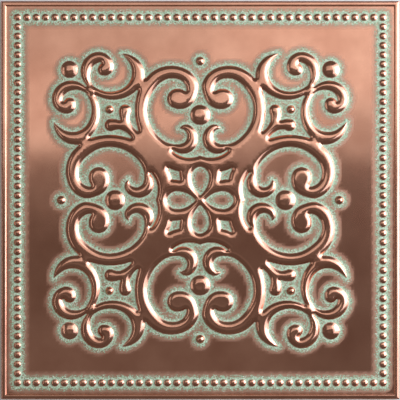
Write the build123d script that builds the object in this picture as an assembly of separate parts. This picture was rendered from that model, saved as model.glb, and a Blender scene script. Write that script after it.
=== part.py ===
from build123d import *
import math
import os

# Peel and stick metal tile, lying flat with its face up.
# Origin: middle of the tile, on the underside of its release liner. +Z comes out of the face.
# The metal face has a rolled rim, a border of pearls and a raised scrollwork ornament.
# Behind it lie the adhesive pad and the liner that is peeled off before the tile is stuck up.

# Tile and its layers
TILE_SIDE = 304.8
SHEET_GAUGE = 0.4
PAD_THICKNESS = 1.0
LINER_THICKNESS = 0.15
BACKING_SETBACK = 4.5

# Half-round rim rolled along the four edges
RIM_RADIUS = 2.0

# Border of pearls, with its distance from the tile's edges to the pearls' middles
PEARL_SETBACK = 12.5
PEARLS_PER_SIDE = 40
PEARL_RADIUS = 3.05
PEARL_RISE = 1.7
PEARL_SIDES = 8
PEARL_DRAFT = 42

# Height of the ornament and its bosses over the field
RELIEF_RISE = 2.5

# Turned bosses: distance of their middle from the axes, foot radius and crown radius
CORNER_BOSS = (100.0, 7.0, 2.9)
STAR_BOSS = (69.4, 3.5, 1.2)
MIDDLE_BOSS = (65.2, 8.1, 3.6)
OUTER_BOSS = (106.4, 3.6, 1.2)

# Mirror line of each quarter of the ornament
DIAGONAL = Plane(origin=(0, 0, 0), x_dir=(1, 1, 0), z_dir=(1, -1, 0))

# Points of the ornament's outline, in the eighth between the Y axis and the diagonal
CRESCENT_PEAK = (0.0, 34.5)
CRESCENT_TIP = (20.6, 37.6)
CURL_TIP = (16.3, 54.4)
SCROLL_WAIST = (40.4, 69.0)
SCROLL_PIT = (10.8, 84.0)
SCROLL_CHEEK = (0.9, 87.8)
SCROLL_HEEL = (41.6, 93.8)
HORN_TIP = (60.6, 112.4)
HORN_ROOT = (81.9, 88.1)
VOLUTE_PIT = (76.5, 104.9)
VOLUTE_HEEL = (87.3, 87.3)

# Points of the star-shaped pocket, which a forked leaf grows into
STAR_OUTER_TIP = (79.7, 79.7)
STAR_SIDE_TIP = (48.4, 83.9)
STAR_INNER_TIP = (47.6, 53.5)
LEAF_FORK = (61.5, 61.5)

# Points of the flower's pockets: a petal on each axis and a lozenge on each diagonal
PETAL_TIP = (0.0, 4.1)
PETAL_END = (0.0, 25.3)
LOZENGE_OUTER_TIP = (24.1, 24.1)
LOZENGE_SHOULDER = (16.6, 21.6)
LOZENGE_INNER_TIP = (15.6, 15.6)


def outline(start, heading, *runs):
    """Line of arcs through named points.

    Each run gives its (radius, turn) arcs, then the point where one more arc takes it. A turn to
    the left is positive, and a turn of no radius is a sharp corner."""
    point = Vector(*start)
    direction = Vector(1, 0).rotate(Axis.Z, heading)
    arcs = []
    for turns, end in runs:
        for radius, turn in turns:
            if radius == 0:
                direction = direction.rotate(Axis.Z, turn)
            else:
                arcs.append(JernArc(point, direction, radius, turn))
                point, direction = arcs[-1] @ 1, arcs[-1] % 1
        arcs.append(TangentArc(point, end, tangent=direction))
        point, direction = arcs[-1] @ 1, arcs[-1] % 1
    return arcs


def turned_copies(shape):
    """Shape and its copies, a quarter turn apart about the middle of the tile."""
    return [shape.rotate(Axis.Z, 90 * turn) for turn in range(4)]


def mirrored_face(half, mirror_line):
    """Face inside half an outline and its mirror image."""
    return make_face(half + [mirror(arc, about=mirror_line) for arc in half])


def ornament_outline():
    """Outer outline of the ornament, from the Y axis to the diagonal."""
    curl = outline(
        CRESCENT_PEAK, -24,
        ([], CRESCENT_TIP),
        ([(0, 177), (11.5, -59), (12.0, -131)], CURL_TIP),
    )
    scroll = outline(
        CURL_TIP, 174,
        ([(5.5, 171), (16.5, 50), (29.5, 29)], SCROLL_WAIST),
        ([(23.0, 27), (32.5, 22), (14.0, 60)], SCROLL_PIT),
        ([(0, 126), (10.5, -42), (8.0, -149), (13.0, -88)], SCROLL_CHEEK),
    )
    back = outline(
        SCROLL_CHEEK, 79,
        ([(18.0, -50)], SCROLL_HEEL),
        ([(0, 146)], HORN_TIP),
    )
    horn = outline(
        HORN_TIP, -135,
        ([(45.0, 12), (13.5, 92)], HORN_ROOT),
        ([(2.0, 20), (13.0, 53)], VOLUTE_PIT),
    )
    volute = outline(
        VOLUTE_HEEL, 135,
        ([(0, -89), (16.0, 51), (15.0, 65), (12.0, 101), (7.5, 109)], VOLUTE_PIT),
    )
    return curl + scroll + back + horn + volute


def ornament_face():
    """Plan of the whole ornament, without its pockets."""
    eighth = ornament_outline()
    quarter = eighth + [mirror(arc, about=DIAGONAL) for arc in eighth]
    return make_face([copy for arc in quarter for copy in turned_copies(arc)])


def star_pocket():
    """Star-shaped pocket on the diagonal, with the forked leaf growing into it."""
    half = outline(
        STAR_OUTER_TIP, 135,
        ([(0, 74)], STAR_SIDE_TIP),
        ([(0, 153)], STAR_INNER_TIP),
        ([(0, 148), (17.0, 26), (8.5, 51), (5.0, -200)], LEAF_FORK),
    )
    return mirrored_face(half, DIAGONAL)


def petal_pocket():
    """Petal-shaped pocket on the Y axis."""
    half = outline(PETAL_TIP, 43, ([(21.0, 22), (16.0, 29)], PETAL_END))
    return mirrored_face(half, Plane.YZ)


def lozenge_pocket():
    """Lozenge-shaped pocket on the diagonal."""
    half = outline(
        LOZENGE_OUTER_TIP, 135,
        ([(0, 75)], LOZENGE_SHOULDER),
        ([(0, 80)], LOZENGE_INNER_TIP),
    )
    return mirrored_face(half, DIAGONAL)


def scrollwork(field_height):
    """Raised ornament with its pockets."""
    pockets = [
        copy
        for pocket in (star_pocket(), petal_pocket(), lozenge_pocket())
        for copy in turned_copies(pocket)
    ]
    plan = ornament_face() - pockets
    return Pos(0, 0, field_height) * extrude(plan, RELIEF_RISE)


def boss(x, y, radius, crown_radius, field_height):
    """Turned boss that stands on the field."""
    base = (Align.CENTER, Align.CENTER, Align.MIN)
    return Pos(x, y, field_height) * Cone(radius, crown_radius, RELIEF_RISE, align=base)


def bosses(field_height):
    """All bosses of the ornament."""
    kinds = []
    for at, radius, crown_radius in (CORNER_BOSS, STAR_BOSS):
        kinds.append(boss(at, at, radius, crown_radius, field_height))
    for at, radius, crown_radius in (MIDDLE_BOSS, OUTER_BOSS):
        kinds.append(boss(0, at, radius, crown_radius, field_height))
    return [copy for kind in kinds for copy in turned_copies(kind)]


def pearls(field_height):
    """Border of pearls, each with one flat facet for each of its sides."""
    pearl = extrude(RegularPolygon(PEARL_RADIUS, PEARL_SIDES), PEARL_RISE, taper=PEARL_DRAFT)
    corner = TILE_SIDE / 2 - PEARL_SETBACK
    pitch = 2 * corner / (PEARLS_PER_SIDE - 1)
    side = [
        Pos(-corner + index * pitch, corner, field_height) * pearl
        for index in range(PEARLS_PER_SIDE - 1)
    ]
    return [copy for one in side for copy in turned_copies(one)]


def rim(radius, foot_height):
    """Half-round bar along the four edges of the tile, mitred at the corners."""
    reach = TILE_SIDE / 2 - RIM_RADIUS
    path = Wire.make_rect(2 * reach, 2 * reach, Plane.XY.offset(foot_height))
    section_plane = Plane(origin=(reach, 0, foot_height), x_dir=(1, 0, 0), z_dir=(0, -1, 0))
    arc = ThreePointArc((-radius, 0), (0, radius), (radius, 0))
    section = section_plane * make_face([arc, Line((radius, 0), (-radius, 0))])
    return sweep(section, path=path, transition=Transition.RIGHT)


def layer(side, thickness, height):
    """Square sheet at a height."""
    base = (Align.CENTER, Align.CENTER, Align.MIN)
    return Pos(0, 0, height) * Box(side, side, thickness, align=base)


def metal_face():
    """Pressed sheet. Its rim is hollow behind."""
    underside = LINER_THICKNESS + PAD_THICKNESS
    field_height = underside + SHEET_GAUGE
    blank = layer(TILE_SIDE, SHEET_GAUGE, underside)
    raised = [scrollwork(field_height), *bosses(field_height), *pearls(field_height)]
    return blank + raised + rim(RIM_RADIUS, underside) - rim(RIM_RADIUS - SHEET_GAUGE, underside)


def main():
    """Writes one file for each piece."""
    os.makedirs("parts", exist_ok=True)
    backing_side = TILE_SIDE - 2 * BACKING_SETBACK
    nodes = {
        "metal_face": metal_face(),
        "adhesive_pad": layer(backing_side, PAD_THICKNESS, LINER_THICKNESS),
        "release_liner": layer(backing_side, LINER_THICKNESS, 0),
    }
    for name, shape in nodes.items():
        export_step(shape, f"parts/{name}.step")


if __name__ == "__main__":
    main()
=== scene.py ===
"""Dresses the peel and stick metal tile: pressed copper face, foam pad and release liner."""

import logging
import math
from collections.abc import Callable
from dataclasses import dataclass, field
from enum import Enum

import bmesh
import bpy
import numpy as np
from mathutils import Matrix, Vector


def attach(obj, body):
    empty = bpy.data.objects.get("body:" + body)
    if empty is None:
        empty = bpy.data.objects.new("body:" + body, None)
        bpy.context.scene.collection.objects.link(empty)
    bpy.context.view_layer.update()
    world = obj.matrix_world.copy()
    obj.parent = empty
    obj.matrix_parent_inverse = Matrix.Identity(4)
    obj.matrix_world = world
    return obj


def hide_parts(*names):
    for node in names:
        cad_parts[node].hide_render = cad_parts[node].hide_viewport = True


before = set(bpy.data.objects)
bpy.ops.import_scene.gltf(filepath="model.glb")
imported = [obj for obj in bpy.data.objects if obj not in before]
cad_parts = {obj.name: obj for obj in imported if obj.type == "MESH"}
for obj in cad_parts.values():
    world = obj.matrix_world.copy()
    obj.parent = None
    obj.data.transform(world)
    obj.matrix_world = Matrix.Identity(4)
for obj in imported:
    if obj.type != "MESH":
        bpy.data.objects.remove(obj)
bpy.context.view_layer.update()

logging.basicConfig(level=logging.INFO, format="%(levelname)s %(message)s")
LOG = logging.getLogger("tile")

MM = 0.001

# Radius, in millimetres, that rounds the sharp corners of a foot line
PIT = 0.3

# Shares of a pressed flank's width at which its fillet and its straight slope end
FILLET_END = 0.05
SLOPE_END = 0.34

# Sockets of a Mix node that mixes colours
MIX_COLOUR_INPUTS = (0, 6, 7)
MIX_COLOUR_OUTPUT = 2

# Step over which a slope is measured, and how far from 1 the slope may be
PROBE = 0.02
UNSTEADY = 0.05

# Distance, in millimetres, under which two places count as one
NEARLY_ZERO = 0.01

# Corners of a face from which it counts as the flat back, and isn't shaded smooth
BACK_CORNERS = 8

# Points of the ornament's foot line, in the eighth between the Y axis and the diagonal
CRESCENT_PEAK = (0.0, 34.5)
CRESCENT_TIP = (20.6, 37.6)
CURL_TIP = (16.3, 54.4)
SCROLL_WAIST = (40.4, 69.0)
SCROLL_PIT = (10.8, 84.0)
SCROLL_CHEEK = (0.9, 87.8)
SCROLL_HEEL = (41.6, 93.8)
HORN_TIP = (60.6, 112.4)
HORN_ROOT = (81.9, 88.1)
VOLUTE_CHEEK = (76.6, 105.2)
VOLUTE_PIT = (76.3, 104.3)
VOLUTE_HEEL = (87.3, 87.3)

# Points of the star-shaped pocket, which a forked leaf grows into
STAR_OUTER_TIP = (79.7, 79.7)
STAR_SIDE_TIP = (48.4, 83.9)
STAR_INNER_TIP = (47.6, 53.5)
LEAF_CHEEK = (61.45, 61.85)
LEAF_FORK = (61.5, 61.5)

# Points of the flower's pockets: a petal on each axis and a lozenge on each diagonal
PETAL_TIP = (0.0, 4.1)
PETAL_END = (0.0, 25.3)
LOZENGE_OUTER_TIP = (24.1, 24.1)
LOZENGE_SHOULDER = (16.6, 21.6)
LOZENGE_SIDE = (15.55, 15.93)
LOZENGE_INNER_TIP = (15.6, 15.6)

# How far outside the eighth the lines run that close the foot lines, in millimetres
MARGIN = 5.0

Pair = tuple[float, float]
Place = tuple[float, float, float]
Colour = tuple[float, float, float]
Run = tuple[list[Pair], Pair]
Feet = Callable[[np.ndarray], np.ndarray]


class Aim(Enum):
    """Where a lamp points."""

    TILE = "at the tile"
    DOWN = "straight down"


@dataclass(frozen=True)
class Arc:
    """Arc in plan, in millimetres and degrees. It turns left where its sweep is positive."""

    start: Pair
    heading: float
    radius: float
    sweep: float

    @property
    def centre(self) -> np.ndarray:
        """Middle of the arc's circle."""
        angle = math.radians(self.heading + math.copysign(90, self.sweep))
        return np.array(self.start) + self.radius * np.array((math.cos(angle), math.sin(angle)))

    @property
    def first_angle(self) -> float:
        """Angle of the arc's start, seen from its centre."""
        return math.radians(self.heading - math.copysign(90, self.sweep))

    @property
    def end_heading(self) -> float:
        """Direction of travel at the arc's end."""
        return self.heading + self.sweep

    def at(self, share: float) -> np.ndarray:
        """Point at a share of the arc's length."""
        angle = self.first_angle + math.radians(self.sweep) * share
        return self.centre + self.radius * np.array((math.cos(angle), math.sin(angle)))

    def distance(self, points: np.ndarray) -> np.ndarray:
        """Finds how far points are from the arc.

        Args:
            points: Rows of x and y.

        Returns:
            One distance for each point.
        """
        spoke = points - self.centre
        turn = np.arctan2(spoke[:, 1], spoke[:, 0]) - self.first_angle
        turn = np.mod(turn * math.copysign(1, self.sweep), 2 * math.pi)
        beside = np.abs(np.hypot(spoke[:, 0], spoke[:, 1]) - self.radius)
        ends = [np.hypot(*(points - self.at(share)).T) for share in (0, 1)]
        return np.where(turn <= abs(math.radians(self.sweep)), beside, np.minimum(*ends))


@dataclass(frozen=True)
class Outline:
    """Foot line of a pressed shape, in the eighth between the Y axis and the diagonal.

    Closing points join its ends round the outside of that eighth, and chords are the points on
    each arc that stand for it when the inside is told from the outside.
    """

    arcs: tuple[Arc, ...]
    closing: tuple[Pair, ...]
    chords: int = 16

    @classmethod
    def through(cls, start: Pair, heading: float, *runs: Run) -> list[Arc]:
        """Joins smooth runs of arcs.

        Args:
            start: First point.
            heading: Direction of travel there.
            runs: Each run's (radius, sweep) arcs, and the point where one more arc takes it.

        Returns:
            The arcs in order.
        """
        arcs: list[Arc] = []
        point = start
        for steps, end in runs:
            for radius, sweep in steps:
                arcs.append(Arc(point, heading, abs(radius), math.copysign(sweep, radius)))
                point, heading = tuple(arcs[-1].at(1)), arcs[-1].end_heading
            chord = np.subtract(end, point)
            bearing = math.degrees(math.atan2(chord[1], chord[0]))
            half = (bearing - heading + 180) % 360 - 180
            radius = math.hypot(*chord) / 2 / abs(math.sin(math.radians(half)))
            arcs.append(Arc(point, heading, radius, 2 * half))
            point, heading = end, arcs[-1].end_heading
        return arcs

    def distance(self, points: np.ndarray) -> np.ndarray:
        """Distance of each point from the outline."""
        return np.min([arc.distance(points) for arc in self.arcs], axis=0)

    def encloses(self, points: np.ndarray) -> np.ndarray:
        """Tells which points lie inside the outline and its closing line.

        Args:
            points: Rows of x and y.

        Returns:
            True for each point inside.
        """
        shares = np.linspace(0, 1, self.chords)
        line = [arc.at(share) for arc in self.arcs for share in shares]
        corners = np.array([*line, *self.closing])
        inside = np.zeros(len(points), bool)
        x, y = points.T
        for (ax, ay), (bx, by) in zip(corners, np.roll(corners, -1, axis=0)):
            if ay == by:
                continue
            spans = (ay > y) != (by > y)
            inside ^= spans & (x < ax + (bx - ax) * (y - ay) / (by - ay))
        return inside

    def signed(self, points: np.ndarray) -> np.ndarray:
        """Distance of each point from the outline, positive inside it."""
        return np.where(self.encloses(points), 1, -1) * self.distance(points)


def past_axis(point: Pair) -> Pair:
    """Point moved out of the eighth, across the Y axis."""
    return point[0] - MARGIN, point[1]


def past_diagonal(point: Pair) -> Pair:
    """Point moved out of the eighth, across the diagonal."""
    return point[0] + MARGIN, point[1] - MARGIN


def smooth(value: np.ndarray) -> np.ndarray:
    """Eases values from 0 to 1, and holds them there."""
    share = np.clip(value, 0, 1)
    return share * share * (3 - 2 * share)


def pressed(depth: np.ndarray, width: float) -> np.ndarray:
    """Section of a pressed flank.

    Args:
        depth: Distance inside the foot line.
        width: Distance at which the flank reaches its crest.

    Returns:
        Share of the full height: a short fillet, a short slope and a long round.
    """
    share = np.clip(depth / width, 0, 1)
    slope = 1 / (FILLET_END / 2 + (SLOPE_END - FILLET_END) + (1 - SLOPE_END) / 2)
    low = slope * share**2 / (2 * FILLET_END)
    middle = slope * (share - FILLET_END / 2)
    high = 1 - slope * (1 - share) ** 2 / (2 * (1 - SLOPE_END))
    return np.where(share < FILLET_END, low, np.where(share < SLOPE_END, middle, high))


@dataclass(frozen=True)
class Boss:
    """Domed boss with a small flat, by its place in the eighth and its radii."""

    x: float
    y: float
    radius: float
    flat: float

    def depth(self, points: np.ndarray) -> np.ndarray:
        """Distance of each point inside the boss's foot."""
        return self.radius - np.hypot(points[:, 0] - self.x, points[:, 1] - self.y)


@dataclass(frozen=True)
class Groove:
    """Narrow groove across a rib, between two points of the eighth."""

    start: Pair
    end: Pair
    depth: float = 0.75
    width: float = 0.75

    def cut(self, points: np.ndarray) -> np.ndarray:
        """Depth of the groove at each point."""
        run = np.subtract(self.end, self.start)
        share = np.clip((points - self.start) @ run / (run @ run), 0, 1)
        beside = np.hypot(*(points - self.start - share[:, None] * run).T)
        return self.depth * np.exp(-((beside / self.width) ** 2))


@dataclass
class Scrollwork:
    """Pressed ornament of scrolls, horns, flower and bosses, described by one eighth of it."""

    rise: float = 2.46
    flank: float = 4.4
    bosses: tuple[Boss, ...] = (
        Boss(100.0, 100.0, 7.0, 0.7),
        Boss(69.4, 69.4, 3.5, 0.3),
        Boss(0.0, 65.2, 8.1, 2.0),
        Boss(0.0, 106.4, 3.6, 0.3),
    )
    grooves: tuple[Groove, ...] = (
        Groove((41.2, 94.4), (48.8, 83.3)),
        Groove((81.9, 88.4), (79.4, 79.4)),
    )

    def body(self) -> Outline:
        """Outer line of the ornament, from the Y axis to the diagonal."""
        curl = Outline.through(
            CRESCENT_PEAK, -24,
            ([], CRESCENT_TIP),
            ([(PIT, 183), (-10.5, 65), (-12.0, 131)], CURL_TIP),
        )
        scroll = Outline.through(
            CURL_TIP, 174,
            ([(5.5, 171), (16.5, 50), (29.5, 29)], SCROLL_WAIST),
            ([(23.0, 27), (32.5, 22), (14.0, 60)], SCROLL_PIT),
            ([(PIT, 126), (-10.5, 42), (-8.0, 149), (-13.0, 88)], SCROLL_CHEEK),
        )
        back = Outline.through(
            SCROLL_CHEEK, 79,
            ([(-18.0, 50)], SCROLL_HEEL),
            ([(PIT, 146)], HORN_TIP),
        )
        horn = Outline.through(
            HORN_TIP, -135,
            ([(45.0, 12), (13.5, 92)], HORN_ROOT),
            ([(2.0, 20), (13.0, 53)], VOLUTE_CHEEK),
            ([], VOLUTE_PIT),
        )
        volute = Outline.through(
            VOLUTE_HEEL, 135,
            ([(-PIT, 89), (16.0, 51), (15.0, 65), (12.0, 101), (7.5, 109)], VOLUTE_PIT),
        )
        backwards = [
            Arc(tuple(arc.at(1)), arc.end_heading + 180, arc.radius, -arc.sweep)
            for arc in reversed(volute)
        ]
        middle = (0.0, 0.0)
        closing = (
            past_diagonal(VOLUTE_HEEL),
            past_diagonal(middle),
            past_axis((middle[0], middle[1] - MARGIN)),
            past_axis(CRESCENT_PEAK),
        )
        return Outline((*curl, *scroll, *back, *horn, *backwards), closing)

    def pockets(self) -> tuple[Outline, ...]:
        """Floor lines of the star, petal and lozenge pockets."""
        star = Outline.through(
            STAR_OUTER_TIP, 135,
            ([(PIT, 74)], STAR_SIDE_TIP),
            ([(PIT, 153)], STAR_INNER_TIP),
            ([(PIT, 148), (17.0, 26), (8.5, 51), (-5.0, 200)], LEAF_CHEEK),
            ([], LEAF_FORK),
        )
        petal = Outline.through(PETAL_TIP, 0, ([(PIT, 43), (21.0, 22), (16.0, 29)], PETAL_END))
        lozenge = Outline.through(
            LOZENGE_OUTER_TIP, 135,
            ([(PIT, 75)], LOZENGE_SHOULDER),
            ([(PIT, 80)], LOZENGE_SIDE),
            ([], LOZENGE_INNER_TIP),
        )
        star_closing = past_diagonal(LEAF_FORK), past_diagonal(STAR_OUTER_TIP)
        petal_closing = past_axis(PETAL_END), past_axis(PETAL_TIP)
        lozenge_closing = past_diagonal(LOZENGE_INNER_TIP), past_diagonal(LOZENGE_OUTER_TIP)
        return (
            Outline(tuple(star), star_closing),
            Outline(tuple(petal), petal_closing),
            Outline(tuple(lozenge), lozenge_closing),
        )

    def depth(self, folded: np.ndarray) -> np.ndarray:
        """Distance of each point inside the ornament's foot lines, negative on the field.

        Args:
            folded: Rows of x and y, folded into the eighth.

        Returns:
            One distance for each point.
        """
        inside = self.body().signed(folded)
        for pocket in self.pockets():
            inside = np.minimum(inside, -pocket.signed(folded))
        return inside

    def height(self, folded: np.ndarray, depth: np.ndarray) -> np.ndarray:
        """Height of the ornament over the field, in millimetres."""
        high = self.rise * pressed(depth, self.flank)
        for boss in self.bosses:
            share = pressed(boss.depth(folded), boss.radius - boss.flat)
            high = np.maximum(high, self.rise * share)
        for groove in self.grooves:
            high = high - groove.cut(folded) * high / self.rise
        return high

    def foot_distance(self, folded: np.ndarray, depth: np.ndarray) -> np.ndarray:
        """Distance inside the nearest foot line of ornament or boss."""
        return np.max([depth, *(boss.depth(folded) for boss in self.bosses)], axis=0)


@dataclass
class PearlBorder:
    """Square line of domed pearls round the ornament."""

    reach: float = 139.9
    per_side: int = 40
    radius: float = 3.05
    rise: float = 1.45

    @property
    def pitch(self) -> float:
        """Distance from pearl to pearl."""
        return 2 * self.reach / (self.per_side - 1)

    def depth(self, folded: np.ndarray) -> np.ndarray:
        """Distance of each point inside the foot of the nearest pearl."""
        along = np.clip(np.round((self.reach - folded[:, 0]) / self.pitch), 0, None)
        nearest = self.reach - along * self.pitch
        return self.radius - np.hypot(folded[:, 0] - nearest, folded[:, 1] - self.reach)

    def height(self, folded: np.ndarray) -> np.ndarray:
        """Height of the pearls over the field."""
        share = np.clip(1 - self.depth(folded) / self.radius, 0, 1)
        ball = (self.radius**2 + self.rise**2) / (2 * self.rise)
        return np.sqrt(ball**2 - (self.radius * share) ** 2) - (ball - self.rise)


@dataclass
class Rim:
    """Flattened roll along the four edges, mitred at the corners, with its hollow behind."""

    reach: float = 152.4
    radius: float = 2.0
    crest: float = 1.7
    gauge: float = 0.4
    inner_round: float = 0.9
    outer_round: float = 2.3
    foot_strip: float = 0.2
    inner_steps: int = 5
    outer_steps: int = 7
    hollow_steps: int = 6

    @property
    def centre(self) -> float:
        """Distance of the roll's middle from the axes."""
        return self.reach - self.radius

    @property
    def inner_line(self) -> float:
        """Distance from the axes at which the inner round reaches the crest."""
        return self.reach - 2 * self.radius + self.inner_round

    @property
    def outer_line(self) -> float:
        """Distance from the axes at which the outer round leaves the crest."""
        return self.reach - self.outer_round

    def columns(self) -> list[float]:
        """Places of the roll's mesh lines, from just inside its foot to the tile's edge."""
        inner_angles = np.linspace(0, math.pi / 2, self.inner_steps)
        outer_angles = np.linspace(0, math.pi / 2, self.outer_steps)
        inside = [self.inner_line - self.inner_round * math.cos(angle) for angle in inner_angles]
        outside = [self.outer_line + self.outer_round * math.sin(angle) for angle in outer_angles]
        return [inside[0] - self.foot_strip, *inside, *outside]

    def height(self, across: np.ndarray) -> np.ndarray:
        """Height of the roll over its underside, from the greater of |x| and |y|."""
        inside = np.clip((self.inner_line - across) / self.inner_round, 0, 1)
        outside = np.clip((across - self.outer_line) / self.outer_round, 0, 1)
        bend = np.sqrt((1 - inside**2) * (1 - outside**2))
        return self.gauge + (self.crest - self.gauge) * bend

    def hollow(self) -> list[Pair]:
        """Section behind the roll, from its outer foot, as distances and heights."""
        wide, high = self.radius - self.gauge, self.crest - self.gauge
        angles = np.linspace(0, math.pi, self.hollow_steps)
        arch = [(self.centre + wide * math.cos(angle), high * math.sin(angle)) for angle in angles]
        return [(self.reach, 0.0), *arch]


@dataclass(frozen=True)
class Wave:
    """Gentle wave in the sheet. Its length and swell are in millimetres."""

    length: float
    direction: float
    swell: float

    def height(self, points: np.ndarray, phase: float) -> np.ndarray:
        """Height of the wave at each point."""
        angle = math.radians(self.direction)
        run = points @ np.array((math.cos(angle), math.sin(angle)))
        return self.swell * np.sin(2 * math.pi * run / self.length + phase)


@dataclass
class OilCanning:
    """Gentle waves in the flat sheet, each shifted a little further than the one before."""

    first_phase: float = 0.6
    phase_step: float = 1.7
    waves: tuple[Wave, ...] = (
        Wave(92.0, 18.0, 0.085),
        Wave(71.0, 104.0, 0.06),
        Wave(47.0, 63.0, 0.032),
        Wave(38.0, 151.0, 0.024),
        Wave(29.0, 12.0, 0.013),
    )

    def height(self, points: np.ndarray) -> np.ndarray:
        """Sum of the waves at each point."""
        total = np.zeros(len(points))
        for index, wave in enumerate(self.waves):
            total += wave.height(points, self.phase_step * index + self.first_phase)
        return total


class NodeSheet:
    """Small helper that lays out a material's or world's nodes."""

    def __init__(self, owner: bpy.types.ID) -> None:
        """Clears the owner's node tree.

        Args:
            owner: Material or world that gets the nodes.
        """
        owner.use_nodes = True
        self.tree = owner.node_tree
        self.tree.nodes.clear()

    def add(self, kind: str, **settings: object) -> bpy.types.Node:
        """Adds a node. Settings are its properties, and names with spaces as _ are its inputs."""
        node = self.tree.nodes.new(kind)
        for name, value in settings.items():
            if hasattr(node, name):
                setattr(node, name, value)
            else:
                node.inputs[name.replace("_", " ")].default_value = value
        return node

    def join(self, source: bpy.types.NodeSocket, target: bpy.types.NodeSocket) -> None:
        """Links an output to an input."""
        self.tree.links.new(source, target)

    def math(
        self, kind: str, first: object, second: object, third: object = 0.0, clamp: bool = False
    ) -> bpy.types.NodeSocket:
        """Adds a Math node.

        Args:
            kind: Its operation.
            first: Socket or number.
            second: Socket or number.
            third: Socket or number that a multiply-add adds.
            clamp: Whether the result stays from 0 to 1.

        Returns:
            The node's output.
        """
        node = self.add("ShaderNodeMath", operation=kind, use_clamp=clamp)
        for slot, value in zip(node.inputs, (first, second, third)):
            if isinstance(value, bpy.types.NodeSocket):
                self.join(value, slot)
            else:
                slot.default_value = value
        return node.outputs[0]

    def blend(self, share: object, first: object, second: object) -> bpy.types.NodeSocket:
        """Adds a colour mix.

        Args:
            share: Socket or number that says how much of the second shows.
            first: Socket or colour.
            second: Socket or colour.

        Returns:
            The mixed colour.
        """
        node = self.add("ShaderNodeMix", data_type="RGBA")
        slots = [node.inputs[index] for index in MIX_COLOUR_INPUTS]
        for slot, value in zip(slots, (share, first, second)):
            if isinstance(value, bpy.types.NodeSocket):
                self.join(value, slot)
            elif isinstance(value, tuple):
                slot.default_value = (*value, 1)
            else:
                slot.default_value = value
        return node.outputs[MIX_COLOUR_OUTPUT]

    def noise(self, scale: float, detail: float, roughness: float = 0.5) -> bpy.types.NodeSocket:
        """Noise on the object's own coordinates."""
        place = self.add("ShaderNodeTexCoord")
        node = self.add("ShaderNodeTexNoise", Scale=scale, Detail=detail, Roughness=roughness)
        self.join(place.outputs["Object"], node.inputs["Vector"])
        return node.outputs["Fac"]

    def grains(self, scale: float) -> tuple[bpy.types.NodeSocket, bpy.types.NodeSocket]:
        """Small grains on the object's own coordinates.

        Args:
            scale: Grains in a metre.

        Returns:
            Two values from 0 to 1, the same all over a grain and different from grain to grain.
        """
        place = self.add("ShaderNodeTexCoord")
        node = self.add("ShaderNodeTexVoronoi", Scale=scale)
        self.join(place.outputs["Object"], node.inputs["Vector"])
        parts = self.add("ShaderNodeSeparateColor")
        self.join(node.outputs["Color"], parts.inputs[0])
        return parts.outputs[0], parts.outputs[1]

    def spread(self, value: bpy.types.NodeSocket, span: Pair) -> bpy.types.NodeSocket:
        """Stretches a span of a value to 0 to 1, and turns it round where the span falls."""
        node = self.add("ShaderNodeMapRange", From_Min=span[0], From_Max=span[1], clamp=True)
        self.join(value, node.inputs["Value"])
        return node.outputs["Result"]


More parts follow.
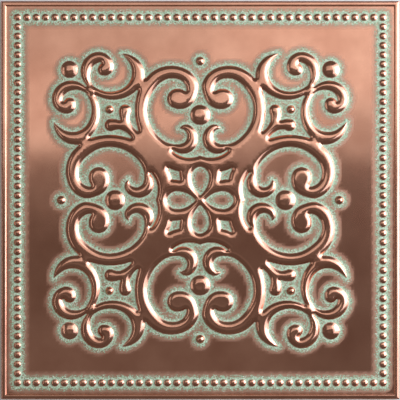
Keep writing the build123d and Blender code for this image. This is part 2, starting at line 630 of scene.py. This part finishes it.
@dataclass(frozen=True)
class AntiqueCopper:
    """Satin copper with speckled green patina in its low places.

    The face's attribute says how likely each grain is to be green. Spans are of that likelihood
    or of a grain's own tone, and shares say how much of a colour shows at most.
    """

    copper: Colour = (0.80, 0.42, 0.29)
    shaded_copper: Colour = (0.66, 0.32, 0.215)
    cloud_scale: float = 34
    cloud_detail: float = 3
    cloud_span: Pair = (0.35, 0.7)

    patina: Colour = (0.43, 0.67, 0.43)
    grains_per_metre: float = 1800
    cover_gain: float = 1.46
    cover_offset: float = -0.36
    grain_edge: Pair = (-0.05, 0.1)

    dust: Colour = (0.38, 0.25, 0.165)
    dust_span: Pair = (0.0, 0.3)
    dust_share: float = 0.45

    stain: Colour = (0.26, 0.20, 0.12)
    stained_tones: Pair = (0.14, 0.3)
    thin_span: Pair = (0.7, 0.1)
    thin_share: float = 0.55

    bloom: Colour = (0.74, 0.86, 0.66)
    bloomed_tones: Pair = (0.68, 0.86)
    thick_span: Pair = (0.82, 1.0)
    thick_share: float = 0.4

    roughness: float = 0.19
    dull_roughness: float = 0.45
    refraction: float = 1.5
    crust_height: float = 0.00012
    crust_strength: float = 0.35
    least_crust: float = 0.8

    def metal(self, sheet: NodeSheet, haze: bpy.types.NodeSocket) -> bpy.types.NodeSocket:
        """Clouded copper, dusty where the patina begins."""
        clouds = sheet.spread(sheet.noise(self.cloud_scale, self.cloud_detail), self.cloud_span)
        return sheet.blend(haze, sheet.blend(clouds, self.copper, self.shaded_copper), self.dust)

    def crust(
        self, sheet: NodeSheet, low_places: bpy.types.NodeSocket, tone: bpy.types.NodeSocket
    ) -> bpy.types.NodeSocket:
        """Mixes the colour of the patina's grains.

        Args:
            sheet: Node tree to add to.
            low_places: Likelihood of patina.
            tone: Each grain's own tone.

        Returns:
            Green, with stained and bloomed grains, paler where it is thick and brown where thin.
        """
        mixed = sheet.blend(sheet.spread(tone, self.stained_tones), self.stain, self.patina)
        thick = sheet.math("MULTIPLY", sheet.spread(low_places, self.thick_span), self.thick_share)
        pale = sheet.math("MAXIMUM", sheet.spread(tone, self.bloomed_tones), thick)
        mixed = sheet.blend(pale, mixed, self.bloom)
        thin = sheet.math("MULTIPLY", sheet.spread(low_places, self.thin_span), self.thin_share)
        return sheet.blend(thin, mixed, self.stain)

    def material(self) -> bpy.types.Material:
        """Builds the finish.

        Returns:
            The material.
        """
        made = bpy.data.materials.new("antique_copper")
        sheet = NodeSheet(made)
        low_places = sheet.add("ShaderNodeAttribute", attribute_name="patina").outputs["Fac"]
        chance, tone = sheet.grains(self.grains_per_metre)
        cover = sheet.math("MULTIPLY_ADD", low_places, self.cover_gain, self.cover_offset)
        green = sheet.spread(sheet.math("SUBTRACT", cover, chance), self.grain_edge)
        haze = sheet.math("MULTIPLY", sheet.spread(low_places, self.dust_span), self.dust_share)
        colour = sheet.blend(green, self.metal(sheet, haze), self.crust(sheet, low_places, tone))
        dull = sheet.math("MAXIMUM", green, haze)
        rough = sheet.math("MULTIPLY_ADD", dull, self.dull_roughness, self.roughness)
        height = sheet.math("MULTIPLY", green, sheet.math("ADD", tone, self.least_crust))
        bump = sheet.add(
            "ShaderNodeBump", Strength=self.crust_strength, Distance=self.crust_height
        )
        sheet.join(height, bump.inputs["Height"])
        shader = sheet.add("ShaderNodeBsdfPrincipled", IOR=self.refraction)
        sheet.join(colour, shader.inputs["Base Color"])
        sheet.join(sheet.math("SUBTRACT", 1.0, dull, clamp=True), shader.inputs["Metallic"])
        sheet.join(rough, shader.inputs["Roughness"])
        sheet.join(bump.outputs["Normal"], shader.inputs["Normal"])
        sheet.join(shader.outputs[0], sheet.add("ShaderNodeOutputMaterial").inputs[0])
        return made


@dataclass(frozen=True)
class PaleSheet:
    """Plain non-metal finish with a fine tooth, for the foam and the liner."""

    name: str
    colour: Colour
    second_colour: Colour
    roughness: float
    tooth: float
    scale: float
    detail: float = 3
    raggedness: float = 0.6
    colour_span: Pair = (0.35, 0.65)
    refraction: float = 1.45
    tooth_strength: float = 0.4

    def material(self) -> bpy.types.Material:
        """Builds the finish.

        Returns:
            The material.
        """
        made = bpy.data.materials.new(self.name)
        sheet = NodeSheet(made)
        cells = sheet.noise(self.scale, self.detail, self.raggedness)
        share = sheet.spread(cells, self.colour_span)
        colour = sheet.blend(share, self.colour, self.second_colour)
        bump = sheet.add("ShaderNodeBump", Strength=self.tooth_strength, Distance=self.tooth)
        sheet.join(cells, bump.inputs["Height"])
        shader = sheet.add(
            "ShaderNodeBsdfPrincipled", Roughness=self.roughness, IOR=self.refraction
        )
        sheet.join(colour, shader.inputs["Base Color"])
        sheet.join(bump.outputs["Normal"], shader.inputs["Normal"])
        sheet.join(shader.outputs[0], sheet.add("ShaderNodeOutputMaterial").inputs[0])
        return made


@dataclass(frozen=True)
class PatinaReach:
    """How far the patina reaches, in millimetres."""

    halo: float = 5.4
    halo_fade: float = 5.1
    outside_pearls: float = 6.9
    inside_pearls: float = 7.1
    pearl_fade: float = 4.6
    climb: float = 0.55

    def share(self, foot: np.ndarray, inwards: np.ndarray) -> np.ndarray:
        """Finds how likely patina is: full beside the feet of the relief and round the pearls.

        Args:
            foot: Distance inside the nearest foot line, negative on the field.
            inwards: Distance from the pearls' line towards the middle of the tile.

        Returns:
            One share from 0 to 1 for each point.
        """
        beside = (foot + self.halo) / self.halo_fade
        outer = (inwards + self.outside_pearls) / self.pearl_fade
        inner = (self.inside_pearls - inwards) / self.pearl_fade
        share = np.clip(np.maximum(beside, np.minimum(outer, inner)), 0, 1)
        return share * (1 - smooth(foot / self.climb))


@dataclass(frozen=True)
class Band:
    """Where the mesh is made finer: along the foot lines, and within a margin of the pearls."""

    outside: float
    inside: float
    pearl_margin: float


@dataclass
class PressedFace:
    """Copper face of the tile: flat sheet, rolled rim, pearls and scrollwork in one skin."""

    underside: float = 1.15
    gauge: float = 0.4
    cells_per_pearl: int = 3
    cells_outside_pearls: int = 3
    bands: tuple[Band, ...] = (Band(-1.4, 4.2, 0.6), Band(-0.3, 1.2, 0.0))
    ornament_reach: float = 130.0
    settling: float = 0.26
    wave_fade_height: float = 2.4
    wave_fade_width: float = 12.0
    least_wave: float = 0.15
    scrolls: Scrollwork = field(default_factory=Scrollwork)
    pearls: PearlBorder = field(default_factory=PearlBorder)
    rim: Rim = field(default_factory=Rim)
    waves: OilCanning = field(default_factory=OilCanning)
    patina: PatinaReach = PatinaReach()

    def mesh_lines(self) -> np.ndarray:
        """Places of the coarse mesh lines across the tile, on which the pearls' middles lie."""
        cell = self.pearls.pitch / self.cells_per_pearl
        count = (self.pearls.per_side - 1) * self.cells_per_pearl
        inner = [-self.pearls.reach + cell * index for index in range(count + 1)]
        steps = range(1, self.cells_outside_pearls + 1)
        strip = [self.pearls.reach + cell * index for index in steps]
        outer = [*strip, *self.rim.columns()]
        return np.array([-line for line in reversed(outer)] + inner + outer)

    @staticmethod
    def places(mesh: bmesh.types.BMesh) -> np.ndarray:
        """Rows of x and y of the mesh's points, in millimetres."""
        return np.array([point.co.xy for point in mesh.verts]) / MM

    @staticmethod
    def fold(points: np.ndarray) -> np.ndarray:
        """Points folded into the eighth between the Y axis and the diagonal."""
        return np.sort(np.abs(points), axis=1)

    def coarse_sheet(self) -> bmesh.types.BMesh:
        """Flat sheet with its mesh lines in place.

        Returns:
            The mesh, in metres.
        """
        lines = self.mesh_lines()
        mesh = bmesh.new()
        count = len(lines) - 1
        bmesh.ops.create_grid(mesh, x_segments=count, y_segments=count, size=1)
        even = np.linspace(-1, 1, len(lines))
        for point in mesh.verts:
            x, y = np.interp((point.co.x, point.co.y), even, lines) * MM
            point.co = (x, y, 0)
        return mesh

    def scroll_feet(self, points: np.ndarray) -> np.ndarray:
        """Distance of each point inside the nearest foot line of ornament or boss."""
        folded = self.fold(points)
        return self.scrolls.foot_distance(folded, self.scrolls.depth(folded))

    def pearl_feet(self, points: np.ndarray) -> np.ndarray:
        """Distance of each point inside the foot of the nearest pearl."""
        return self.pearls.depth(self.fold(points))

    def refine(self, mesh: bmesh.types.BMesh, band: Band) -> None:
        """Halves the cells near the pressed shapes.

        Args:
            mesh: Sheet to refine.
            band: Where its cells are halved.
        """
        points = self.places(mesh)
        foot = self.scroll_feet(points)
        near = (foot > band.outside) & (foot < band.inside)
        near &= np.abs(points).max(axis=1) < self.ornament_reach
        near |= self.pearl_feet(points) > -band.pearl_margin
        mesh.verts.index_update()
        faces = [
            face for face in mesh.faces if sum(near[point.index] for point in face.verts) > 1
        ]
        edges = {edge for face in faces for edge in face.edges}
        bmesh.ops.subdivide_edges(mesh, edges=list(edges), cuts=1, use_grid_fill=True)

    def settle(self, mesh: bmesh.types.BMesh, feet: Feet) -> None:
        """Moves the points that lie beside a foot line onto it, so that the crease is crisp.

        Points on the tile's axes stay, and so do those near a corner of the line, where the
        distance to it doesn't change steadily.

        Args:
            mesh: Sheet to change.
            feet: Gives each point's distance inside the nearest foot line.
        """
        points = self.places(mesh)
        here = feet(points)
        steps = [feet(points + shift) - here for shift in ((PROBE, 0), (0, PROBE))]
        slope = np.stack(steps, axis=1) / PROBE
        steady = np.abs(np.hypot(*slope.T) - 1) < UNSTEADY
        off_axes = np.abs(points).min(axis=1) > NEARLY_ZERO
        move = (np.abs(here) < self.settling) & steady & off_axes
        shifted = points - slope * here[:, None]
        for point, chosen, place in zip(mesh.verts, move, shifted):
            if chosen:
                point.co.xy = place * MM

    def raise_relief(self, mesh: bmesh.types.BMesh) -> None:
        """Lifts every point to the face's height and marks where patina gathers.

        Args:
            mesh: Flat sheet.
        """
        points = self.places(mesh)
        folded = self.fold(points)
        depth = self.scrolls.depth(folded)
        foot = self.scrolls.foot_distance(folded, depth)
        pearl = self.pearls.depth(folded)
        height = np.maximum(self.scrolls.height(folded, depth), self.pearls.height(folded))
        across = folded[:, 1]
        flatness = np.clip(1 - height / self.wave_fade_height, self.least_wave, 1)
        flatness *= smooth((self.rim.centre - across) / self.wave_fade_width)
        top = self.underside + self.gauge + height + self.waves.height(points) * flatness
        rolled = self.underside + self.rim.height(across)
        top = np.where(across > self.rim.columns()[0] - NEARLY_ZERO, rolled, top)
        patina = self.patina.share(np.maximum(foot, pearl), self.pearls.reach - across)
        layer = mesh.verts.layers.float.new("patina")
        for point, z, share in zip(mesh.verts, top, patina):
            point.co.z = z * MM
            point[layer] = share

    def close_back(self, mesh: bmesh.types.BMesh) -> None:
        """Closes the skin behind: the roll's hollow, and a plain flat underside.

        Args:
            mesh: Raised sheet.
        """
        edges = [edge for edge in mesh.edges if edge.is_boundary]
        reach = self.rim.reach
        for across, height in self.rim.hollow():
            made = bmesh.ops.extrude_edge_only(mesh, edges=edges)["geom"]
            edges = [item for item in made if isinstance(item, bmesh.types.BMEdge)]
            points = [item for item in made if isinstance(item, bmesh.types.BMVert)]
            for point in points:
                point.co.xy *= across / reach
                point.co.z = (self.underside + height) * MM
            reach = across
        bmesh.ops.contextual_create(mesh, geom=edges)

    def build(self, finish: AntiqueCopper) -> bpy.types.Object:
        """Makes the face as one closed mesh.

        Args:
            finish: Copper finish.

        Returns:
            The finished piece.
        """
        mesh = self.coarse_sheet()
        for band in self.bands:
            self.refine(mesh, band)
        self.settle(mesh, self.scroll_feet)
        self.settle(mesh, self.pearl_feet)
        self.raise_relief(mesh)
        self.close_back(mesh)
        bmesh.ops.recalc_face_normals(mesh, faces=mesh.faces)
        for face in mesh.faces:
            face.smooth = len(face.verts) < BACK_CORNERS
        data = bpy.data.meshes.new("pressed_face")
        mesh.to_mesh(data)
        triangles = sum(len(face.verts) - 2 for face in mesh.faces)
        mesh.free()
        data.materials.append(finish.material())
        piece = bpy.data.objects.new("pressed_face", data)
        bpy.context.scene.collection.objects.link(piece)
        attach(piece, "root")
        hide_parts("metal_face")
        LOG.info("pressed_face: %d triangles", triangles)
        return piece


@dataclass
class Backing:
    """Foam pad and liner behind the face. Their plain solids stay, with their own finishes."""

    foam: PaleSheet = PaleSheet(
        "adhesive_foam", (0.78, 0.78, 0.75), (0.66, 0.66, 0.63), 0.8, tooth=0.0002, scale=1800
    )
    paper: PaleSheet = PaleSheet(
        "waxed_paper", (0.84, 0.80, 0.70), (0.80, 0.76, 0.65), 0.38, tooth=0.00004, scale=600
    )

    def dress(self) -> None:
        """Gives each solid its finish."""
        for node, finish in (("adhesive_pad", self.foam), ("release_liner", self.paper)):
            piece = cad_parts[node]
            piece.data.materials.clear()
            piece.data.materials.append(finish.material())
            LOG.info("%s: %s", node, finish.name)


@dataclass(frozen=True)
class Lamp:
    """Soft rectangular lamp, in metres, watts and degrees."""

    name: str
    place: Place
    size: Pair
    power: float
    aim: Aim
    turn: float = 0
    tint: Colour = (1, 1, 1)

    def hang(self) -> None:
        """Hangs the lamp, pointing at the tile or straight down and turned about the upright."""
        data = bpy.data.lights.new(self.name, "AREA")
        data.shape = "RECTANGLE"
        data.size, data.size_y = self.size
        data.energy = self.power
        data.color = self.tint
        lamp = bpy.data.objects.new(self.name, data)
        lamp.location = self.place
        if self.aim is Aim.TILE:
            lamp.rotation_mode = "QUATERNION"
            lamp.rotation_quaternion = (-Vector(self.place)).to_track_quat("-Z", "Y")
        else:
            lamp.rotation_euler.z = math.radians(self.turn)
        bpy.context.scene.collection.objects.link(lamp)


@dataclass
class Studio:
    """Pale floor, soft lamps and the camera above the tile."""

    camera_height: float = 0.62
    face_height: float = 0.0016
    frame_width: float = 0.3062
    sensor_width: float = 36.0
    look_at: Pair = (-0.0002, 0.0001)
    floor_reach: float = 12.0
    floor_colour: Colour = (0.82, 0.82, 0.82)
    floor_roughness: float = 0.9
    room_colour: Colour = (1.0, 0.86, 0.78)
    room_strength: float = 0.13
    key_tint: Colour = (0.94, 1.0, 1.14)

    def lamps(self) -> tuple[Lamp, ...]:
        """Key lamps on the right, ceiling panels for the sheet to mirror, and a glint."""
        tint = self.key_tint
        return (
            Lamp("key", (1.06, 0.2, 0.66), (1.8, 1.5), 15, Aim.TILE, tint=tint),
            Lamp("key_core", (0.98, 0.18, 0.46), (0.85, 0.62), 7, Aim.TILE, tint=tint),
            Lamp("ceiling", (0.0, 0.69, 1.3), (1.7, 1.1), 3.4, Aim.DOWN, 5),
            Lamp("ceiling_right", (0.47, 0.72, 1.31), (0.8, 0.85), 0.75, Aim.DOWN),
            Lamp("ceiling_edge", (-0.08, 0.22, 1.31), (1.6, 0.16), 0.36, Aim.DOWN, 5),
            Lamp("ceiling_near", (-0.2, -0.5, 1.31), (0.9, 0.5), 0.1, Aim.DOWN),
            Lamp("glint", (-1.1, -0.05, 0.55), (1.2, 0.16), 0.65, Aim.TILE),
        )

    def floor(self) -> None:
        """Lays the floor that the tile lies on."""
        mesh = bmesh.new()
        bmesh.ops.create_grid(mesh, x_segments=8, y_segments=8, size=self.floor_reach)
        data = bpy.data.meshes.new("floor")
        mesh.to_mesh(data)
        mesh.free()
        made = bpy.data.materials.new("pale_floor")
        sheet = NodeSheet(made)
        shader = sheet.add(
            "ShaderNodeBsdfPrincipled",
            Base_Color=(*self.floor_colour, 1),
            Roughness=self.floor_roughness,
        )
        sheet.join(shader.outputs[0], sheet.add("ShaderNodeOutputMaterial").inputs[0])
        data.materials.append(made)
        floor = bpy.data.objects.new("floor", data)
        bpy.context.scene.collection.objects.link(floor)

    def world(self) -> None:
        """Lights the room dimly and evenly."""
        world = bpy.data.worlds.new("room")
        bpy.context.scene.world = world
        sheet = NodeSheet(world)
        light = sheet.add(
            "ShaderNodeBackground", Color=(*self.room_colour, 1), Strength=self.room_strength
        )
        sheet.join(light.outputs[0], sheet.add("ShaderNodeOutputWorld").inputs[0])

    def camera(self) -> None:
        """Sets the camera straight above the tile."""
        data = bpy.data.cameras.new("camera")
        data.sensor_width = self.sensor_width
        data.lens = self.sensor_width * self.camera_height / self.frame_width
        camera = bpy.data.objects.new("camera", data)
        camera.location = (*self.look_at, self.camera_height + self.face_height)
        bpy.context.scene.collection.objects.link(camera)
        bpy.context.scene.camera = camera

    def build(self) -> None:
        """Sets up the whole studio."""
        bpy.context.scene.view_settings.view_transform = "Standard"
        self.floor()
        self.world()
        for lamp in self.lamps():
            lamp.hang()
        self.camera()


def main() -> None:
    """Builds the scene piece by piece."""
    Studio().build()
    PressedFace().build(AntiqueCopper())
    Backing().dress()


if __name__ == "__main__":
    main()
